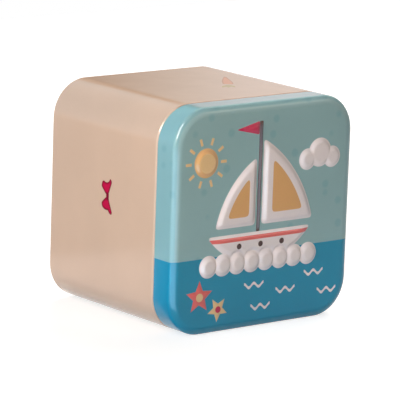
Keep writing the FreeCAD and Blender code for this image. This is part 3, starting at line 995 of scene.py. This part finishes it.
def flat_sheet(name, corners, material):
    mesh = bpy.data.meshes.new(name)
    mesh.from_pydata(corners, [], [tuple(range(len(corners)))])
    mesh.materials.append(material)
    sheet = bpy.data.objects.new(name, mesh)
    bpy.context.scene.collection.objects.link(sheet)
    return sheet


def seen_directly(tree):
    """1 for camera, glossy and transmission rays, and 0 for the rays that carry light."""
    path = tree.nodes.new("ShaderNodeLightPath")
    seen = path.outputs["Is Camera Ray"]
    for kind in ("Is Glossy Ray", "Is Transmission Ray"):
        either = tree.nodes.new("ShaderNodeMath")
        either.operation = "MAXIMUM"
        tree.links.new(seen, either.inputs[0])
        tree.links.new(path.outputs[kind], either.inputs[1])
        seen = either.outputs[0]
    return seen


def make_floor():
    material = bpy.data.materials.new("pale_floor")
    material.use_nodes = True
    tree = material.node_tree
    surface = tree.nodes["Principled BSDF"]
    surface.inputs["Base Color"].default_value = FLOOR_COLOUR
    surface.inputs["Roughness"].default_value = FLOOR_ROUGHNESS
    surface.inputs["Specular IOR Level"].default_value = FLOOR_GLOSS
    surface.inputs["Emission Color"].default_value = (1, 1, 1, 1)
    glow = tree.nodes.new("ShaderNodeMath")
    glow.operation = "MULTIPLY"
    glow.inputs[1].default_value = FLOOR_GLOW
    tree.links.new(seen_directly(tree), glow.inputs[0])
    tree.links.new(glow.outputs[0], surface.inputs["Emission Strength"])
    ways = ((-1, -1), (1, -1), (1, 1), (-1, 1))
    flat_sheet("floor", [(x * FLOOR_REACH, y * FLOOR_REACH, FLOOR_Z) for x, y in ways], material)


def make_world():
    world = bpy.data.worlds.new("studio")
    bpy.context.scene.world = world
    world.use_nodes = True
    tree = world.node_tree
    ambient = tree.nodes["Background"]
    ambient.inputs["Color"].default_value = AMBIENT_COLOUR
    ambient.inputs["Strength"].default_value = AMBIENT
    white = tree.nodes.new("ShaderNodeBackground")
    white.inputs["Color"].default_value = (1, 1, 1, 1)
    choose = tree.nodes.new("ShaderNodeMixShader")
    tree.links.new(seen_directly(tree), choose.inputs[0])
    tree.links.new(ambient.outputs[0], choose.inputs[1])
    tree.links.new(white.outputs[0], choose.inputs[2])
    tree.links.new(choose.outputs[0], tree.nodes["World Output"].inputs["Surface"])


# Cards that only reflections see: the table with a dark sheet on it, a screen behind the tin and the sky.
# Those on the table are corners (x, y), and they meet along the sheet's edges.
TABLE = 2.0
FRONT_END, FRONT_MEET = -0.045, -0.673
SHEET_LEFT, SHEET_END, SHEET_FAR = -0.41, (-0.0837, 0.117), (-1.3, 1.63)
BACK_START = 0.05
FRONT_CARD = [(-TABLE, -TABLE), (TABLE, -TABLE), (TABLE, FRONT_END), (FRONT_MEET, FRONT_END),
              (-TABLE, SHEET_LEFT)]
LEFT_CARD = [(FRONT_MEET, FRONT_END), (-0.045, FRONT_END), (-0.045, -0.035), (SHEET_END[0], 0.0115),
             SHEET_END]
SIDE_CARD = [(-0.05, -0.03), (-0.05, 0.126), (-0.153, 0.098)]
FAR_CARD = [(-TABLE, SHEET_LEFT), SHEET_END, SHEET_FAR, (-TABLE, 2.5)]
BACK_CARD = [SHEET_END, (SHEET_END[0], BACK_START), (TABLE, BACK_START), (TABLE, 2.45), SHEET_FAR]
SIDE_CARD_Z = 0.0003
SKY_SIDES, SKY_Y, SKY_HEIGHTS = (-3.0, 2.0), 2.5, (0.2, 3.5)
SCREEN_DISTANCE, SCREEN_HEIGHT, SCREEN_TURN = 1.2, 0.73, -38.8

# The cards' colours, and the screen's from left to right, each with its place
FRONT_TONE = (0.62, 0.82, 1.0, 1)
LEFT_TONE = (0.2, 0.34, 0.54, 1)
SIDE_TONE = (1.2, 1.12, 1.12, 1)
FAR_TONE = (0.09, 0.08, 0.07, 1)
BACK_TONE = (1.0, 0.99, 0.97, 1)
SKY_TONE = (0.35, 0.75, 0.95, 1)
SCREEN_TONES = [
    (-0.6, (0.5, 0.5, 0.5)),
    (-0.25, (0.08, 0.07, 0.06)),
    (-0.1, (0.08, 0.07, 0.06)),
    (-0.02, (0.47, 0.5, 0.5)),
    (0.04, (0.72, 0.75, 0.78)),
    (0.2, (0.86, 0.86, 0.88)),
]

# The cards' changes of brightness: from, to, in millimetres, and the strengths there
CONTACT_SHADE = (-3.0, 9.0, 0.6, 1.0)
FRONT_FADE = (-420.0, -90.0, 0.5, 1.15)
BACK_FADE = (60.0, 240.0, 0.85, 0.36)
BACK_RISE = (300.0, 700.0, 0.0, 0.3)


def card_shader(name, tone):
    shader = Shader(name)
    shader.surface.inputs["Base Color"].default_value = BLACK_CARD
    shader.surface.inputs["Specular IOR Level"].default_value = 0.0
    shader.surface.inputs["Emission Color"].default_value = tone
    shader.surface.inputs["Emission Strength"].default_value = 1.0
    return shader


def make_card(name, corners, shader):
    card = flat_sheet(name, corners, shader.material)
    card.visible_camera = False
    card.visible_diffuse = False
    card.visible_shadow = False
    return card


def table_card(name, corners, shader, strength=None, z=0.0):
    """A card that lies on the table, of one brightness or of one that nodes give."""
    if strength is not None:
        shader.set(shader.surface.inputs["Emission Strength"], strength)
    make_card(name, [(x, y, z) for x, y in corners], shader)


def upright_card(name, sides, y, heights, shader):
    (left, right), (low, high) = sides, heights
    return make_card(name, [(left, y, low), (right, y, low), (right, y, high), (left, y, high)], shader)


def contact_shade(shader):
    """A table card's brightness, which falls close to the tin."""
    gaps = []
    for axis, half in (("X", HALF), ("Y", BACK)):
        gaps.append(shader.math("SUBTRACT", shader.math("ABSOLUTE", shader.millimetres(axis)), half))
    return shader.ramp(shader.math("MAXIMUM", *gaps), *CONTACT_SHADE)


def make_screen():
    """A card behind the tin, turned to the camera, with colours that change across it."""
    screen = card_shader("screen_card", (1, 1, 1, 1))
    first, last = SCREEN_TONES[0][0], SCREEN_TONES[-1][0]
    across = screen.add("ShaderNodeMapRange", Value=screen.axes.outputs["X"], From_Min=first, From_Max=last)
    tones = screen.add("ShaderNodeValToRGB", Fac=across.outputs["Result"])
    stops = tones.color_ramp.elements
    while len(stops) < len(SCREEN_TONES):
        stops.new(0.5)
    for stop, (where, tone) in zip(stops, SCREEN_TONES):
        stop.position = (where - first) / (last - first)
        stop.color = (*tone, 1)
    screen.set(screen.surface.inputs["Emission Color"], tones.outputs["Color"])
    card = upright_card("screen_card", (-TABLE, TABLE), 0.0, (0.0, SCREEN_HEIGHT), screen)
    turn = math.radians(SCREEN_TURN)
    card.location = (-math.sin(turn) * SCREEN_DISTANCE, math.cos(turn) * SCREEN_DISTANCE, 0)
    card.rotation_euler.z = turn


def make_cards():
    front = card_shader("front_card", FRONT_TONE)
    fade = front.ramp(front.millimetres("Y"), *FRONT_FADE)
    table_card("front_card", FRONT_CARD, front, front.math("MULTIPLY", contact_shade(front), fade))
    table_card("left_card", LEFT_CARD, card_shader("left_card", LEFT_TONE))
    side = card_shader("side_card", SIDE_TONE)
    table_card("side_card", SIDE_CARD, side, contact_shade(side), SIDE_CARD_Z)
    table_card("far_card", FAR_CARD, card_shader("far_card", FAR_TONE))
    back = card_shader("back_card", BACK_TONE)
    near = back.ramp(back.millimetres("Y"), *BACK_FADE)
    far = back.ramp(back.millimetres("Y"), *BACK_RISE)
    table_card("back_card", BACK_CARD, back, back.math("ADD", near, far))
    sky = card_shader("sky_card", SKY_TONE)
    upright_card("sky_card", SKY_SIDES, SKY_Y, SKY_HEIGHTS, sky)
    make_screen()


# Lamps: three that light, and bright patches that only reflections show
TIN_MIDDLE = (0, 0, CENTRE_Z * MM)
WINDOW, WINDOW_SIZE, WINDOW_POWER = (-1.15, -0.34, 0.45), (0.9, 0.9), 13.0
LAMP, LAMP_SIZE, LAMP_POWER = (-0.3, -0.37, 0.3), (0.06, 0.14), 0.75
CEILING, CEILING_SIZE, CEILING_POWER = (0.8, 0.6, 1.25), (0.9, 0.9), 22.8
WINDOW_COLOUR = (0.86, 0.935, 1.0)
LAMP_COLOUR = (1.0, 0.66, 0.34)
CEILING_COLOUR = (1.0, 0.9, 0.8)
LAMP_PATCH_SIZE = (0.16, 0.3)
CROWN_PATCH, CROWN_PATCH_SIZE = (0.706, -0.8375, 0.56), (0.7, 0.12)
EDGE_PATCH, EDGE_PATCH_SIZE = (-0.29, -0.285, 0.001), (0.5, 0.43)
SKIRT_PATCH, SKIRT_PATCH_SIZE = (0.675, 0.8, 0.32), (0.5, 0.3)
GLINT_PATCH, GLINT_PATCH_SIZE, GLINT_BEAM = (-0.092, -0.087, 0.1265), (0.027, 0.05), 60.0
GLINT = (-0.0478, -0.0304, 0.0912)
COOL_WHITE = (0.95, 0.97, 1.0)
WARM_WHITE = (1.0, 0.98, 0.95)
PALE_YELLOW = (1.0, 1.0, 0.9)
PALE_BLUE = (0.53, 0.78, 1.0)
DUSKY_RED = (1.0, 0.2, 0.17)


def facing(place, target):
    return (Vector(target) - Vector(place)).to_track_quat("-Z", "Y").to_euler()


def area_light(name, place, size, power, colour):
    """A lamp that lights surfaces, and doesn't show in them."""
    data = bpy.data.lights.new(name, "AREA")
    data.shape = "RECTANGLE"
    data.size, data.size_y = size
    data.energy = power
    data.color = colour
    lamp = bpy.data.objects.new(name, data)
    lamp.location = place
    lamp.rotation_euler = facing(place, TIN_MIDDLE)
    lamp.visible_glossy = False
    bpy.context.scene.collection.objects.link(lamp)
    return lamp


def gloss_light(name, place, size, strength, colour, piece=None):
    """A bright patch that shows in glossy surfaces, or in those of one piece, and lights nothing."""
    lamp = area_light(name, place, size, strength * math.pi * size[0] * size[1], colour)
    lamp.visible_glossy = True
    lamp.visible_diffuse = False
    if piece:
        receivers = bpy.data.collections.new(name)
        receivers.objects.link(piece)
        lamp.light_linking.receiver_collection = receivers
    return lamp


def aim(lamp, target, beam):
    """Point a lamp at one place, in a beam of so many degrees, as bright there as before."""
    lamp.rotation_euler = facing(lamp.location, target)
    half = math.radians(beam) / 2
    lamp.data.spread = 2 * half
    lamp.data.energy *= (math.tan(half) - half) / math.tan(half)


def make_lights(lid, wall):
    area_light("window", WINDOW, WINDOW_SIZE, WINDOW_POWER, WINDOW_COLOUR)
    area_light("lamp", LAMP, LAMP_SIZE, LAMP_POWER, LAMP_COLOUR)
    area_light("ceiling", CEILING, CEILING_SIZE, CEILING_POWER, CEILING_COLOUR)
    gloss_light("window_gloss", WINDOW, WINDOW_SIZE, 1.0, COOL_WHITE)
    gloss_light("lamp_gloss", LAMP, LAMP_PATCH_SIZE, 40.0, WARM_WHITE, lid)
    gloss_light("crown_gloss", CROWN_PATCH, CROWN_PATCH_SIZE, 4.0, PALE_YELLOW, lid)
    edge = gloss_light("edge_gloss", EDGE_PATCH, EDGE_PATCH_SIZE, 5.1, PALE_BLUE, lid)
    edge.rotation_euler = (math.pi, 0, 0)
    glint = gloss_light("shoulder_gloss", GLINT_PATCH, GLINT_PATCH_SIZE, 70.0, WARM_WHITE, wall)
    aim(glint, GLINT, GLINT_BEAM)
    gloss_light("skirt_gloss", SKIRT_PATCH, SKIRT_PATCH_SIZE, 0.3, DUSKY_RED, lid)


# The photograph's view, in degrees, metres and pixels of its 400 pixel frame
AZIMUTH = -38.81
ELEVATION = 11.71
ROLL = 1.98
DISTANCE = 1.39207
FOCAL_PIXELS = 3112.68
FRAME_PIXELS = 400
SIGHT_PIXELS = (-0.26, -3.58)
SENSOR = 36.0
VIEW_DEPTH = 44.0
CLIP_END = 50


def make_camera():
    azimuth, elevation, roll = (math.radians(angle) for angle in (AZIMUTH, ELEVATION, ROLL))
    back = Vector((math.sin(azimuth) * math.cos(elevation), -math.cos(azimuth) * math.cos(elevation),
                   math.sin(elevation)))
    level = Vector((math.cos(azimuth), math.sin(azimuth), 0))
    upright = back.cross(level)
    right = level * math.cos(roll) + upright * math.sin(roll)
    up = upright * math.cos(roll) - level * math.sin(roll)
    per_pixel = DISTANCE / FOCAL_PIXELS
    centre = Vector((0, (BACK - VIEW_DEPTH) * MM, CENTRE_Z * MM))
    eye = centre + back * DISTANCE
    eye += (up * SIGHT_PIXELS[1] - right * SIGHT_PIXELS[0]) * per_pixel
    data = bpy.data.cameras.new("camera")
    data.sensor_width = SENSOR
    data.lens = FOCAL_PIXELS * SENSOR / FRAME_PIXELS
    data.clip_end = CLIP_END
    camera = bpy.data.objects.new("camera", data)
    turn = Matrix((right, up, back)).transposed()
    camera.matrix_world = Matrix.Translation(eye) @ turn.to_4x4()
    bpy.context.scene.collection.objects.link(camera)
    bpy.context.scene.camera = camera


make_floor()
make_world()
make_cards()
make_lights(lid_piece, wall_piece)
make_camera()
bpy.context.scene.view_settings.view_transform = "Standard"
